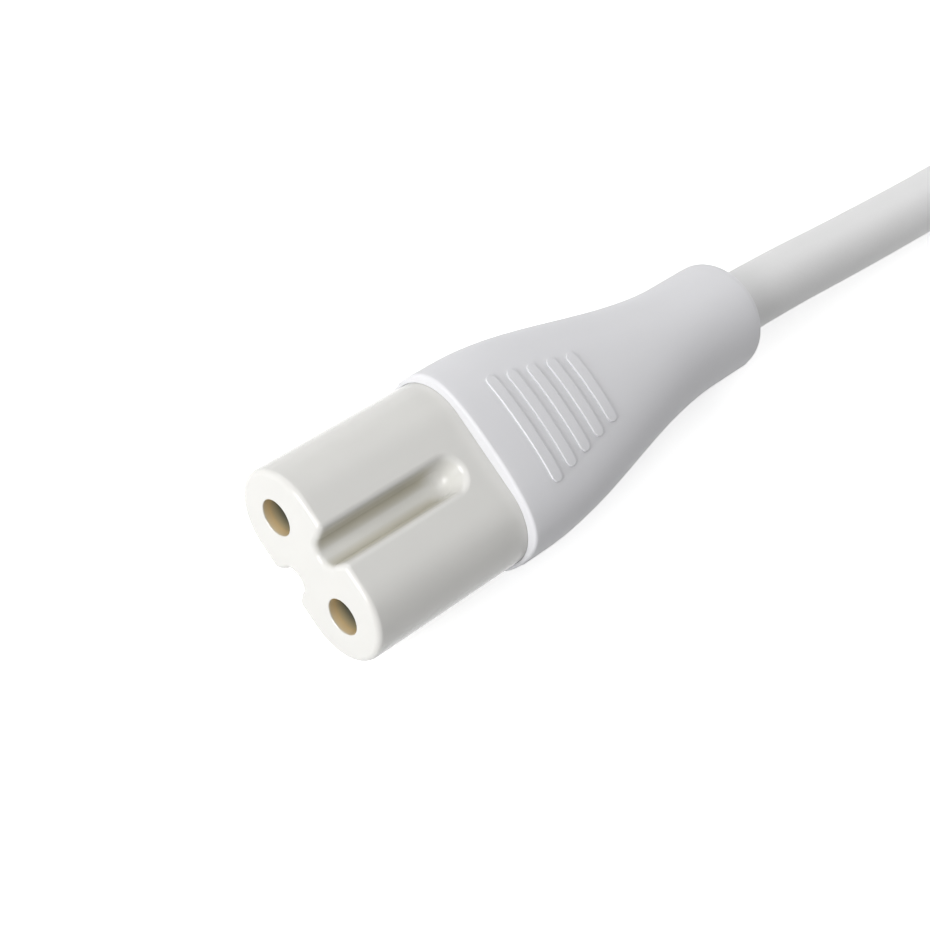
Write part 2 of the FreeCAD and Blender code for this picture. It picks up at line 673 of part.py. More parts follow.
def plug_outline(distance):
    """The plug's outline: flat above and below, with slanting corners and short upright ends."""
    flat = PLUG_FLAT_WIDTH / 2
    slant = PLUG_WIDTH / 2 - flat
    end = PLUG_HEIGHT / 2 - slant
    corners = [
        (flat, PLUG_HEIGHT / 2), (flat + slant, end), (flat + slant, -end), (flat, -PLUG_HEIGHT / 2),
        (-flat, -PLUG_HEIGHT / 2), (-flat - slant, -end), (-flat - slant, end), (-flat, PLUG_HEIGHT / 2),
    ]
    points = [in_plug(distance, y, z) for y, z in corners]
    return Part.makePolygon(points + [points[0]])


def plug_pins():
    """Side, base point and direction of each plug pin: the pins lean towards each other."""
    lean = (PLUG_PIN_SPACING - PLUG_PIN_TIP_SPACING) / 2
    pins = []
    for sign in (1, -1):
        direction = Vector(math.sqrt(PLUG_PIN_LENGTH**2 - lean**2), -sign * lean, 0)
        pins.append((sign, in_plug(0, sign * PLUG_PIN_SPACING / 2), direction.normalize()))
    return pins


def plug_pin(base, direction):
    """Turned pin: bare round end, thinner shank under the sleeve, collar in the bridge, barrel behind."""
    bridge_back = base - direction * BRIDGE_DEPTH
    shank = rod(bridge_back, PLUG_PIN_CORE_RADIUS, BRIDGE_DEPTH + SLEEVE_LENGTH, direction)
    bare = rod(base + direction * SLEEVE_LENGTH, PLUG_PIN_RADIUS, PLUG_PIN_LENGTH - SLEEVE_LENGTH, direction)
    tip = base + direction * PLUG_PIN_LENGTH
    bare = bare.makeFillet(PLUG_PIN_TIP, edges_at(bare, lambda p: (p - tip).Length < PLUG_PIN_RADIUS + NEAR))
    collar_start = base - direction * (BRIDGE_DEPTH / 2 + PLUG_PIN_COLLAR_LENGTH / 2)
    collar = rod(collar_start, PLUG_PIN_COLLAR_RADIUS, PLUG_PIN_COLLAR_LENGTH, direction)
    barrel_start = base - direction * (BRIDGE_DEPTH + PLUG_PIN_BARREL_LENGTH)
    barrel_inner = PLUG_PIN_CORE_RADIUS - PLUG_PIN_BARREL_WALL
    barrel = tube(barrel_start, PLUG_PIN_CORE_RADIUS, barrel_inner, PLUG_PIN_BARREL_LENGTH, direction)
    return shank.fuse([bare, collar, barrel]).removeSplitter()


def pin_sleeve(base, direction):
    start = base - direction * SLEEVE_ROOT
    return tube(start, SLEEVE_RADIUS, PLUG_PIN_CORE_RADIUS, SLEEVE_ROOT + SLEEVE_LENGTH, direction)


def plug_strands(base, direction):
    start = base - direction * (BRIDGE_DEPTH + PLUG_PIN_BARREL_LENGTH + CRIMP_STEP_LENGTH)
    radius = PLUG_PIN_CORE_RADIUS - PLUG_PIN_BARREL_WALL
    return rod(start, radius, PLUG_PIN_BARREL_LENGTH + CRIMP_STEP_LENGTH, direction)


def plug_core(sign, base, direction):
    start = base - direction * (BRIDGE_DEPTH + PLUG_PIN_BARREL_LENGTH + CRIMP_STEP_LENGTH)
    narrow = in_plug(-plug_jacket_end(), sign * CORE_HALF_SPACING)
    return swept(core_path(start, 0, narrow), CORE_RADIUS).cut(plug_strands(base, direction))


def bridge_blank():
    outline = rounded_rectangle(in_plug(-BRIDGE_DEPTH), BRIDGE_WIDTH, BRIDGE_HEIGHT, BRIDGE_CORNER)
    return prism(outline, BRIDGE_DEPTH)


def plug_bridge(metal):
    """Rigid bridge in the plug's face that holds both pins and the roots of their sleeves."""
    body = bridge_blank()
    for piece in metal:
        body = body.cut(piece)
    return body


def plug_body(inside):
    """Soft moulded plug: flat block with slanting corners, ribbed flanks, and a grip tapered to a collar."""
    block = prism(plug_outline(-PLUG_BLOCK_LENGTH), PLUG_BLOCK_LENGTH)
    rims = (plug_face().x, plug_face().x - PLUG_BLOCK_LENGTH)
    block = block.makeFillet(PLUG_EDGE, edges_at(block, lambda p: min(abs(p.x - x) for x in rims) < NEAR))
    rear = plug_face().x - PLUG_BLOCK_LENGTH - PLUG_GRIP_LENGTH
    collar_start = in_plug(PLUG_COLLAR_LENGTH - PLUG_BLOCK_LENGTH - PLUG_GRIP_LENGTH)
    sections = [
        stadium(in_plug(PLUG_EDGE - PLUG_BLOCK_LENGTH), PLUG_GRIP_WIDTH, PLUG_GRIP_HEIGHT),
        stadium(collar_start, PLUG_COLLAR_WIDTH, PLUG_COLLAR_HEIGHT),
    ]
    taper = Part.makeLoft(sections, True, True)
    collar = prism(sections[-1], -PLUG_COLLAR_LENGTH)
    collar = collar.makeFillet(PLUG_EDGE, edges_at(collar, lambda p: abs(p.x - rear) < NEAR))
    body = block.fuse([taper, collar])
    for k in range(PLUG_RIBS):
        distance = -(PLUG_RIB_MARGIN + PLUG_RIB_PITCH * k + PLUG_RIB_WIDTH)
        for sign in (1, -1):
            side = sign * PLUG_WIDTH / 2 - PLUG_RIB_DEPTH
            corner = in_plug(distance, side, -PLUG_HEIGHT / 2)
            body = body.cut(Part.makeBox(PLUG_RIB_WIDTH, 2 * PLUG_RIB_DEPTH, PLUG_HEIGHT, corner))
    jacket = rod(in_plug(-2 * PLUG_BLOCK_LENGTH - PLUG_GRIP_LENGTH), LEAD_RADIUS + LEAD_BORE_GAP,
                 2 * PLUG_BLOCK_LENGTH + PLUG_GRIP_LENGTH - plug_jacket_end())
    body = body.cut(bridge_blank()).cut(jacket)
    for piece in inside:
        body = body.cut(piece)
    return body


def build():
    parts = {}
    sides = dict(zip(("left", "right"), poles()))
    colours = dict(zip(("brown", "blue"), poles()))
    parts["connector_insert"] = connector_insert()
    for name, side in sides.items():
        parts["contact_" + name] = contact(side)
    cores = []
    for name, side in colours.items():
        core = connector_core(side)
        cores.append(core)
        parts["core_" + name + "_connector"] = core
        parts["strands_" + name + "_connector"] = strands(side)
    parts["connector_inner_mould"] = connector_inner_mould(cores)
    parts["connector_grip"] = connector_grip()

    lead = {}
    for name, points in (("cord_run", run_points()), ("cord_tail", tail_points())):
        path, radii = chain(points)
        lead[name] = swept(path, LEAD_RADIUS)
        parts[name] = lead[name]
        section = math.pi * LEAD_RADIUS**2 * path.Length
        print(name, "length", round(path.Length, 1), "radii", [round(r, 1) for r in radii])
        print(name, "volume over section times length", round(lead[name].Volume / section, 5))
    parts["cord_hank"] = cord_hank(lead["cord_run"], lead["cord_tail"])
    parts["hank_tie"] = hank_tie()

    inside, metal = [], []
    for (name, colour), (sign, base, direction) in zip((("left", "brown"), ("right", "blue")), plug_pins()):
        pin = plug_pin(base, direction)
        sleeve = pin_sleeve(base, direction)
        core = plug_core(sign, base, direction)
        ends = plug_strands(base, direction)
        parts["plug_pin_" + name] = pin
        parts["pin_sleeve_" + name] = sleeve
        parts["core_" + colour + "_plug"] = core
        parts["strands_" + colour + "_plug"] = ends
        metal += [pin, sleeve, ends]
        inside += [pin, core, ends]
    parts["plug_bridge"] = plug_bridge(metal)
    parts["plug_body"] = plug_body(inside)
    return parts


os.makedirs("parts", exist_ok=True)
for node, shape in build().items():
    box = shape.BoundBox
    print(node, len(shape.Solids), shape.isValid(), round(shape.Volume, 1),
          [round(v, 2) for v in (box.XMin, box.YMin, box.ZMin, box.XMax, box.YMax, box.ZMax)])
    shape.exportStep("parts/" + node + ".step")
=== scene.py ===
# %% [markdown]
# # A figure eight power connector on its lead
# This lesson dresses a measured model of a small appliance lead: a rigid ivory insert with two pin holes,
# a soft grip moulded round it, a round pale lead put away in a hank, and a flat two-pin plug on the far
# end. The measured solids come in first, as a fixed frame. Everything else is added around them, in
# metres.

# %% Bring in the measured solids
import math

import bpy
from mathutils import Matrix, Vector


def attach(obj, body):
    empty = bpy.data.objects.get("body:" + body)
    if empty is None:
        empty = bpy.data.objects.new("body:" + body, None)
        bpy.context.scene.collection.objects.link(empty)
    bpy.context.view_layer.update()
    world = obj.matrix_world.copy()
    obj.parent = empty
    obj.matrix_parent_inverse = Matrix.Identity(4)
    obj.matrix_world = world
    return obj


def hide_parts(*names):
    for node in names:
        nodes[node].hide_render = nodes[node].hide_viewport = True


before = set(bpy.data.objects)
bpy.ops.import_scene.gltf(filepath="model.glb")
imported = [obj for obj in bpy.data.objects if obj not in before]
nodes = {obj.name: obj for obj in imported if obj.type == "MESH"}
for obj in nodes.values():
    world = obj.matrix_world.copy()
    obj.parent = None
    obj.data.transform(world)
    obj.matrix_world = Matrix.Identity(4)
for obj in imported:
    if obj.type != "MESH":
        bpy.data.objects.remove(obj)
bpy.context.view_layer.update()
print("solids:", len(nodes))

# %% [markdown]
# The photograph was taken from in front of the mating face, from above and a little to the right, with
# the lead running away to the upper right. A camera has three axes of its own. Writing down where each
# one points gives the view exactly, roll included, which aiming at a target would not.

# %% Place the camera
MM = 0.001
CAMERA_PLACE = Vector((-85.58, -8.93, 122.36)) * MM
CAMERA_RIGHT = Vector((0.70802, -0.56084, 0.42914))
CAMERA_DOWN = Vector((-0.43664, -0.82528, -0.35814))
CAMERA_FORWARD = Vector((0.55502, 0.06619, -0.8292))

lens = bpy.data.cameras.new("photo_lens")
lens.sensor_width = 36.0
lens.lens = 71.0
lens.clip_start = 0.01
lens.clip_end = 20.0
camera = bpy.data.objects.new("photo_camera", lens)
bpy.context.scene.collection.objects.link(camera)
axes = Matrix((CAMERA_RIGHT, -CAMERA_DOWN, -CAMERA_FORWARD)).transposed()
camera.matrix_world = Matrix.Translation(CAMERA_PLACE) @ axes.to_4x4()
bpy.context.scene.camera = camera
bpy.context.scene.view_settings.view_transform = "Standard"
print("camera height in mm:", round(CAMERA_PLACE.z / MM, 1))

# %% [markdown]
# The lead is one flexible thing of one length, so it is one smooth curve from the connector to the plug.
# Only the first stretch is in the picture. The rest is put away behind it as a hank: five turns pinched
# in the middle by a tie. A turn is described by a quarter of its outline and mirrored, and the next
# column of turns is the same outline moved outward by one lead diameter.

# %% Describe one turn of the hank
LEAD_DIAMETER = 5.6
LEAD_RADIUS = LEAD_DIAMETER / 2
HANK_MIDDLE = Vector((112.388, -23.8, 0.0))
TURN_QUARTER = [(11.5, LEAD_RADIUS), (24.5, 17.0), (40.1, 17.0), (49.9, 7.0)]

right_lobe = TURN_QUARTER + [(x, -y) for x, y in reversed(TURN_QUARTER)]
left_lobe = [(-x, -y) for x, y in right_lobe]
turn = left_lobe[-2:] + right_lobe + left_lobe[:-2]
print("points in one turn:", len(turn))


def outward(outline, k):
    """How a point moves when the outline grows by one unit on every side."""
    before, here, after = (Vector(outline[j % len(outline)]) for j in (k - 1, k, k + 1))
    normals = [Vector((-run.y, run.x)).normalized() for run in (here - before, after - here)]
    middle = (normals[0] + normals[1]).normalized()
    return middle / middle.dot(normals[0])


# %% [markdown]
# Five passes lie in five places: two columns wide, two layers high, and one pass on top. Each pass has to
# change to the next one's place somewhere. The last one moves first, which frees its place for the one
# before it, so no two passes ever want the same spot.

# %% Lead each pass from its place to the next
PLACES = [(1, 0), (0, 0), (0, 1), (1, 1), (1, 2), (0, 2)]
MOVE_STARTS = [13, 12, 11, 10, 0]
MOVE_SHARES = [0.4, 0.85, 1.0]
LAST_MOVE_SHARES = [0.0, 0.75, 1.0]
WAIST_REACH = 12.0
TIE_THICKNESS = 0.6


def place_in_hank(hank_pass, k):
    """Column and layer of one point of a pass."""
    shares = LAST_MOVE_SHARES if hank_pass == len(MOVE_STARTS) - 1 else MOVE_SHARES
    step = k - MOVE_STARTS[hank_pass]
    share = 0.0 if step < 0 else shares[min(step, len(shares) - 1)]
    (c0, l0), (c1, l1) = PLACES[hank_pass], PLACES[hank_pass + 1]
    return c0 + (c1 - c0) * share, l0 + (l1 - l0) * share


hank_points = []
for hank_pass in range(len(MOVE_STARTS)):
    for k, corner in enumerate(turn):
        column, layer = place_in_hank(hank_pass, k)
        side = Vector(corner) + outward(turn, k) * column * LEAD_DIAMETER
        lift = TIE_THICKNESS if abs(corner[0]) < WAIST_REACH else 0.0
        height = LEAD_RADIUS + layer * LEAD_DIAMETER + lift
        hank_points.append(HANK_MIDDLE + Vector((side.x, side.y, height)))
print("points in the hank:", len(hank_points))

# %% [markdown]
# Before the hank the lead comes straight out of the grip and sinks to the bench in a long slope. After
# the hank, its tail climbs from the top layer over the turns and runs straight into the plug.

# %% Join the run, the hank and the tail in one curve
RUN_POINTS = [(13.45, 0.0, 5.55), (27.45, 0.0, 5.55), (44.45, -0.75, 3.9), (61.95, -1.2, 2.8)]
TAIL_POINTS = [(-24.0, 16.0, 17.8), (-10.3, 10.7, 22.2), (1.0, 8.6, 23.65), (14.0, 8.6, 23.65)]

route = [Vector(p) for p in RUN_POINTS] + hank_points + [HANK_MIDDLE + Vector(p) for p in TAIL_POINTS]
lead_line = bpy.data.curves.new("lead", "CURVE")
lead_line.dimensions = "3D"
lead_line.resolution_u = 10
lead_line.bevel_depth = 1.0
lead_line.bevel_resolution = 8
lead_line.use_fill_caps = True
spline = lead_line.splines.new("NURBS")
spline.points.add(len(route) - 1)
for point, target in zip(spline.points, route):
    point.co = (*(target * MM), 1.0)
    point.radius = LEAD_RADIUS * MM
spline.order_u = 3
spline.use_endpoint_u = True
lead = bpy.data.objects.new("lead", lead_line)
bpy.context.scene.collection.objects.link(lead)
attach(lead, "root")
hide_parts("cord_run", "cord_hank", "cord_tail")
print("points in the lead:", len(route))

# %% [markdown]
# The measured solids come as loose triangles. A part is dressed with a copy of its solid: the copy's
# triangles are merged into one skin and lose the directions that they were shaded with, so that the skin
# can be shaded smoothly and shaped further. One helper makes such a copy. The others select a piece, copy
# it, put a modifier on it, shade it, and join several pieces in one.

# %% Write the helpers for skins
MERGE_DISTANCE = 0.0005


def only(piece):
    """Select one piece and nothing else."""
    bpy.ops.object.select_all(action="DESELECT")
    piece.select_set(True)
    bpy.context.view_layer.objects.active = piece


def copy_of(piece, name):
    """A copy of a piece with its own mesh and no finish."""
    copy = bpy.data.objects.new(name, piece.data.copy())
    bpy.context.scene.collection.objects.link(copy)
    copy.data.materials.clear()
    return copy


def skin_of(node, name):
    """A merged copy of a measured solid."""
    piece = copy_of(nodes[node], name)
    only(piece)
    bpy.ops.object.mode_set(mode="EDIT")
    bpy.ops.mesh.select_all(action="SELECT")
    bpy.ops.mesh.remove_doubles(threshold=MERGE_DISTANCE * MM)
    bpy.ops.object.mode_set(mode="OBJECT")
    bpy.ops.mesh.customdata_custom_splitnormals_clear()
    return piece


def add_modifier(piece, kind, **settings):
    """Put a modifier on a piece and apply it."""
    modifier = piece.modifiers.new(kind.lower(), kind)
    for setting, value in settings.items():
        setattr(modifier, setting, value)
    only(piece)
    bpy.ops.object.modifier_apply(modifier=modifier.name)


def shade(piece, corner):
    """Shade a piece smoothly up to corners of an angle in degrees."""
    only(piece)
    bpy.ops.object.shade_smooth_by_angle(angle=math.radians(corner))


def joined(pieces, name):
    """Several pieces made one."""
    bpy.ops.object.select_all(action="DESELECT")
    for piece in pieces:
        piece.select_set(True)
    bpy.context.view_layer.objects.active = pieces[0]
    bpy.ops.object.join()
    bpy.context.object.name = name
    return bpy.context.object


print("points closer than this in mm are merged:", MERGE_DISTANCE)

# %% [markdown]
# The insert is rigid, glossy and slightly warm in colour. Its merged copy is shaded smoothly up to the
# true corners, and weighted normals keep its flats flat, so that a reflection runs evenly into the
# rounded grooves. A moulded pin hole has only a touch of an edge at its mouth, so both rings of the
# mouth's edge are drawn together.

# %% Put the glossy skin on the insert
FACE_X = -23.55
AXIS_Z = 5.55
POLES = (4.3, -4.3)
HOLE_RADIUS = 1.5
MOUTH_EDGE = 0.18
SOFT_EDGE = 0.05
NEAR = 0.02


def shade_with_flats(piece, corner):
    """Shade a piece smoothly up to corners of an angle in degrees, with its flats kept flat."""
    shade(piece, corner)
    add_modifier(piece, "WEIGHTED_NORMAL", mode="FACE_AREA", weight=60, keep_sharp=True)


insert = skin_of("connector_insert", "insert_skin")
for vertex in insert.data.vertices:
    spot = vertex.co / MM
    for pole in POLES:
        centre = Vector((spot.x, pole, AXIS_Z))
        beyond, depth = (spot - centre).length - HOLE_RADIUS, spot.x - FACE_X
        if depth < NEAR and abs(beyond - MOUTH_EDGE) < NEAR:
            spot = centre + (spot - centre).normalized() * (HOLE_RADIUS + SOFT_EDGE)
        if abs(depth - MOUTH_EDGE) < NEAR and abs(beyond) < NEAR:
            spot.x = FACE_X + SOFT_EDGE
    vertex.co = spot * MM
shade_with_flats(insert, corner=30)
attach(insert, "root")
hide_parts("connector_insert")
print("faces in the insert's skin:", len(insert.data.polygons))

# %% [markdown]
# The grip is one piece of soft vinyl, moulded over the insert and the lead. Its outside is smooth all
# over, with a flat lip round the insert and a rounded collar round the lead. Soft vinyl shrinks on the
# insert as it cools, so the seam inside the lip closes to a hair. The seam's wall follows the insert's
# outline, two flats with round ends, and each of its points is drawn in towards that outline's middle
# line.

# %% Put the soft skin on the grip
INSERT_FLAT = 3.61
SEAM_RADIUS = 4.54
CLOSED_SEAM_RADIUS = 4.47
SEAM_BACK = -7.4

grip = skin_of("connector_grip", "grip_skin")
for vertex in grip.data.vertices:
    spot = vertex.co / MM
    middle = Vector((spot.x, max(-INSERT_FLAT, min(INSERT_FLAT, spot.y)), AXIS_Z))
    reach = (spot - middle).length
    if spot.x < SEAM_BACK and abs(reach - SEAM_RADIUS) < NEAR:
        vertex.co = (middle + (spot - middle) * (CLOSED_SEAM_RADIUS / reach)) * MM
shade_with_flats(grip, corner=38)
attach(grip, "root")
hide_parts("connector_grip")
print("faces in the grip's skin:", len(grip.data.polygons))

# %% [markdown]
# On the broad side of such a grip the mould usually leaves a raised pattern for the thumb. Here it is
# five low bars across the grip, longest next to the insert. One flat strip is copied for all of them.
# Each copy takes its own length and rounded ends, high above the grip. It is then dropped straight down
# on the skin, so that it takes the skin's curve, and given a thickness that is half sunk into the skin.

# %% Raise the thumb bars
BAR_PLACES = [(-4.6, 9.6), (-2.7, 8.8), (-0.8, 8.0), (1.1, 7.2), (3.0, 6.4)]
BAR_WIDTH = 0.95
BAR_RISE = 0.16
BAR_EDGE = 0.09
BAR_CORNER = 50
HIGH_ABOVE_GRIP = 14.0

bpy.ops.object.select_all(action="DESELECT")
bpy.ops.mesh.primitive_grid_add(x_subdivisions=8, y_subdivisions=60, size=1.0, location=(0, 0, 0))
strip = bpy.context.object
bars = [strip] + [copy_of(strip, "thumb_bar") for _ in BAR_PLACES[1:]]
for bar, (x, length) in zip(bars, BAR_PLACES):
    half = length / 2 - BAR_WIDTH / 2
    for vertex in bar.data.vertices:
        across, along = vertex.co.x * 2, vertex.co.y * 2
        narrow = math.sqrt(max(1 - across * across, 0.0))
        side = along * (half + BAR_WIDTH / 2 * narrow)
        vertex.co = Vector((x + across * BAR_WIDTH / 2, side, HIGH_ABOVE_GRIP)) * MM
    add_modifier(bar, "SHRINKWRAP", target=grip, wrap_method="PROJECT", use_project_z=True,
                 use_negative_direction=True, use_positive_direction=False)
    add_modifier(bar, "SOLIDIFY", thickness=2 * BAR_RISE * MM, offset=0.0)
thumb_bars = joined(bars, "thumb_bars")
add_modifier(thumb_bars, "BEVEL", width=BAR_EDGE * MM, segments=3, limit_method="ANGLE",
             angle_limit=math.radians(BAR_CORNER))
shade(thumb_bars, BAR_CORNER)
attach(thumb_bars, "root")
print("thumb bars:", len(BAR_PLACES))

# %% [markdown]
# The two halves of a mould never meet perfectly, so a soft moulding has a hair-thin line round it where
# they met. Cutting the grip's skin at its widest level gives exactly that outline, once the points on the
# skin's inside are taken out. The cut's edges become a curve with a round section a tenth of a millimetre
# thick, half of it inside the skin.

# %% Trace the grip's parting line
LINE_RADIUS = 0.05
SHOULDER_X = -3.0
INSIDE_BEFORE_SHOULDER = 8.15
INSIDE_AT_SHOULDER = 7.2
INSIDE_TAPER = 0.19


def parting_line(skin, name, level, outermost):
    """A thin bead along the outline of a skin at one level."""
    line = copy_of(skin, name)
    only(line)
    bpy.ops.object.mode_set(mode="EDIT")
    bpy.ops.mesh.select_all(action="SELECT")
    bpy.ops.mesh.bisect(plane_co=(0, 0, level * MM), plane_no=(0, 0, 1), clear_inner=True, clear_outer=True)
    bpy.ops.mesh.select_all(action="DESELECT")
    bpy.ops.object.mode_set(mode="OBJECT")
    for vertex in line.data.vertices:
        vertex.select = not outermost(vertex.co.x / MM, vertex.co.y / MM)
    bpy.ops.object.mode_set(mode="EDIT")
    bpy.ops.mesh.delete(type="VERT")
    bpy.ops.mesh.select_all(action="SELECT")
    bpy.ops.mesh.remove_doubles(threshold=NEAR * MM)
    bpy.ops.object.mode_set(mode="OBJECT")
    bpy.ops.object.convert(target="CURVE")
    line = bpy.context.object
    line.data.bevel_depth = LINE_RADIUS * MM
    line.data.bevel_resolution = 1
    line.data.use_fill_caps = True
    bpy.ops.object.convert(target="MESH")
    bpy.ops.object.shade_smooth()
    return bpy.context.object


def grip_outside(x, y):
    """Whether a point of the grip's cut is on its outside: the inside steps in behind the lip."""
    if x < SHOULDER_X:
        return abs(y) > INSIDE_BEFORE_SHOULDER
    return abs(y) > INSIDE_AT_SHOULDER - INSIDE_TAPER * (x - SHOULDER_X)


grip_line = parting_line(grip, "grip_parting_line", AXIS_Z, grip_outside)
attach(grip_line, "root")
print("faces in the grip's parting line:", len(grip_line.data.polygons))

# %% [markdown]
# The plug is soft vinyl too. Its solid has crisp edges where the flats meet, and a soft moulding has
# none. So its skin is rebuilt from fine even cells and smoothed a little, which rounds every edge by the
# same small amount and leaves the flats flat.

# %% Put the soft skin on the plug
PLUG_CELL = 0.30
SMOOTHING_PASSES = 7

plug = skin_of("plug_body", "plug_skin")
add_modifier(plug, "REMESH", mode="VOXEL", voxel_size=PLUG_CELL * MM, use_smooth_shade=True)
add_modifier(plug, "SMOOTH", factor=0.5, iterations=SMOOTHING_PASSES)
only(plug)
bpy.ops.object.shade_smooth()
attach(plug, "root")
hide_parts("plug_body")
print("faces in the plug's skin:", len(plug.data.polygons))

# %% [markdown]
# A wire tie holds the hank: a flat vinyl ribbon with a steel wire along its middle. Its band starts as a
# ring and takes the outline of a belt pulled tight round the lead's turns at the waist. A belt's point
# with a given outward direction lies on the turn that reaches furthest in that direction, so each point
# of the ring only needs its own direction. Across the ribbon, the section is flat with a low ridge where
# the wire runs.

# %% Wrap the tie round the waist
RIBBON_HALF_WIDTH = 1.9
RIBBON_THICKNESS = 0.34
WIRE_RIDGE = 0.22
RIDGE_SHARE = 0.16
TIE_CORNER = 50
WAIST_LOW = LEAD_RADIUS + TIE_THICKNESS
WAIST_TURNS = [(sign * (0.5 + column) * LEAD_DIAMETER, WAIST_LOW + layer * LEAD_DIAMETER)
               for sign in (1, -1) for column, layer in [(0, 2), (1, 1), (1, 0)]]


def ribbon_rise(across):
    """How far the ribbon's outside stands above its inside at a share of its half width."""
    edge = (1 - across ** 8) ** 0.5
    return RIBBON_THICKNESS * edge + WIRE_RIDGE * math.exp(-(across / RIDGE_SHARE) ** 2)


bpy.ops.object.select_all(action="DESELECT")
bpy.ops.mesh.primitive_torus_add(major_segments=144, minor_segments=40, major_radius=1.0, minor_radius=0.2)
tie_band = bpy.context.object
tie_band.name = "tie_band"
for vertex in tie_band.data.vertices:
    around = math.atan2(vertex.co.y, vertex.co.x)
    outward_y, outward_z = math.cos(around), math.sin(around)
    ring = math.atan2(vertex.co.z, math.hypot(vertex.co.x, vertex.co.y) - 1.0)
    across = math.copysign(abs(math.sin(ring)) ** 0.8, math.sin(ring))
    rise = ribbon_rise(across) if math.cos(ring) > 0 else 0.0
    turn_y, turn_z = max(WAIST_TURNS, key=lambda t: t[0] * outward_y + t[1] * outward_z)
    reach = LEAD_RADIUS + rise
    spot = Vector((across * RIBBON_HALF_WIDTH, turn_y + reach * outward_y, turn_z + reach * outward_z))
    vertex.co = (HANK_MIDDLE + spot) * MM
only(tie_band)
bpy.ops.object.mode_set(mode="EDIT")
bpy.ops.mesh.select_all(action="SELECT")
bpy.ops.mesh.remove_doubles(threshold=0.001 * MM)
bpy.ops.mesh.normals_make_consistent(inside=False)
bpy.ops.object.mode_set(mode="OBJECT")
shade(tie_band, TIE_CORNER)
print("faces in the tie's band:", len(tie_band.data.polygons))

# %% [markdown]
# The ribbon's two ends are twisted together and folded down along the hank. Each end is a long flat grid,
# the second one a copy of the first. Going along it, the grid is turned round the pair's common line,
# with half a turn between the two, and the last few millimetres spread apart, as cut ends do.

# %% Twist the ends of the tie
TWIST_LENGTH = 17.0
TWIST_TURNS = 3.5
TWIST_START = HANK_MIDDLE + Vector((1.2, -0.5 * LEAD_DIAMETER, 2.5 * LEAD_DIAMETER + WAIST_LOW + 1.1))
TWIST_CLIMB = 0.9
TWIST_END = 0.86
SPREAD_START = 0.82
SPREAD = 0.8
PAIR_GAP = 0.22
END_NARROWING = 0.62
END_RIDGE_SHARE = 0.2
END_EDGE = 0.08

bpy.ops.object.select_all(action="DESELECT")
bpy.ops.mesh.primitive_grid_add(x_subdivisions=120, y_subdivisions=12, size=2.0)
flat_end = bpy.context.object
ends = [flat_end, copy_of(flat_end, "tie_end")]
for end, phase in zip(ends, (0.0, math.pi)):
    for vertex in end.data.vertices:
        along, across = (vertex.co.x + 1) / 2, vertex.co.y
        spread = SPREAD * max(0.0, (along - SPREAD_START) / (1 - SPREAD_START)) ** 2
        out = PAIR_GAP + spread + WIRE_RIDGE * math.exp(-(across / END_RIDGE_SHARE) ** 2)
        angle = phase + TWIST_TURNS * 2 * math.pi * min(along, TWIST_END)
        side = END_NARROWING * RIBBON_HALF_WIDTH * across
        turned = Vector((0, side * math.cos(angle) - out * math.sin(angle),
                         side * math.sin(angle) + out * math.cos(angle)))
        vertex.co = (TWIST_START + Vector((-TWIST_LENGTH * along, 0, TWIST_CLIMB * along)) + turned) * MM
    add_modifier(end, "SOLIDIFY", thickness=RIBBON_THICKNESS * MM, offset=0.0)
tie_ends = joined(ends, "tie_ends")
add_modifier(tie_ends, "BEVEL", width=END_EDGE * MM, segments=2, limit_method="ANGLE",
             angle_limit=math.radians(60))
shade(tie_ends, TIE_CORNER)
for piece in (tie_band, tie_ends):
    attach(piece, "root")
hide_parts("hank_tie")
print("faces in the tie's ends:", len(tie_ends.data.polygons))

# %% [markdown]

# %% [markdown]
# The floor is a plain pale sheet. A picture on white needs a white background, but more light on the
# object would wash it out. So the floor adds its own white only where it is seen, by the camera or in a
# reflection, and lights the object at a plain level. That white grows with distance, and far out, where
# no lamp reaches, it is all that is seen.

# %% Lay the floor
FLOOR_SIZE = 6.0
FLOOR_COLOUR = (0.80, 0.80, 0.80, 1.0)
SEEN_FLOOR_COLOUR = (0.90, 0.90, 0.90, 1.0)
NEAR_REACH, FAR_REACH = 0.30, 1.10
NEAR_GLOW, FAR_GLOW = 0.58, 1.00

bpy.ops.object.select_all(action="DESELECT")
bpy.ops.mesh.primitive_plane_add(size=FLOOR_SIZE, location=(0, 0, 0))
floor = bpy.context.object
floor.name = "floor"


def new_material(name):
    """An empty node material and its output node."""
    material = bpy.data.materials.new(name)
    material.use_nodes = True
    material.node_tree.nodes.clear()
    return material, material.node_tree.nodes.new("ShaderNodeOutputMaterial")


def seen_rays(tree):
    """One for the rays that see something straight, in a reflection or through glass, and else nought."""
    rays = tree.nodes.new("ShaderNodeLightPath")
    seen = rays.outputs["Is Camera Ray"]
    for kind in ("Is Glossy Ray", "Is Transmission Ray"):
        either = tree.nodes.new("ShaderNodeMath")
        either.operation = "MAXIMUM"
        tree.links.new(seen, either.inputs[0])
        tree.links.new(rays.outputs[kind], either.inputs[1])
        seen = either.outputs[0]
    return seen


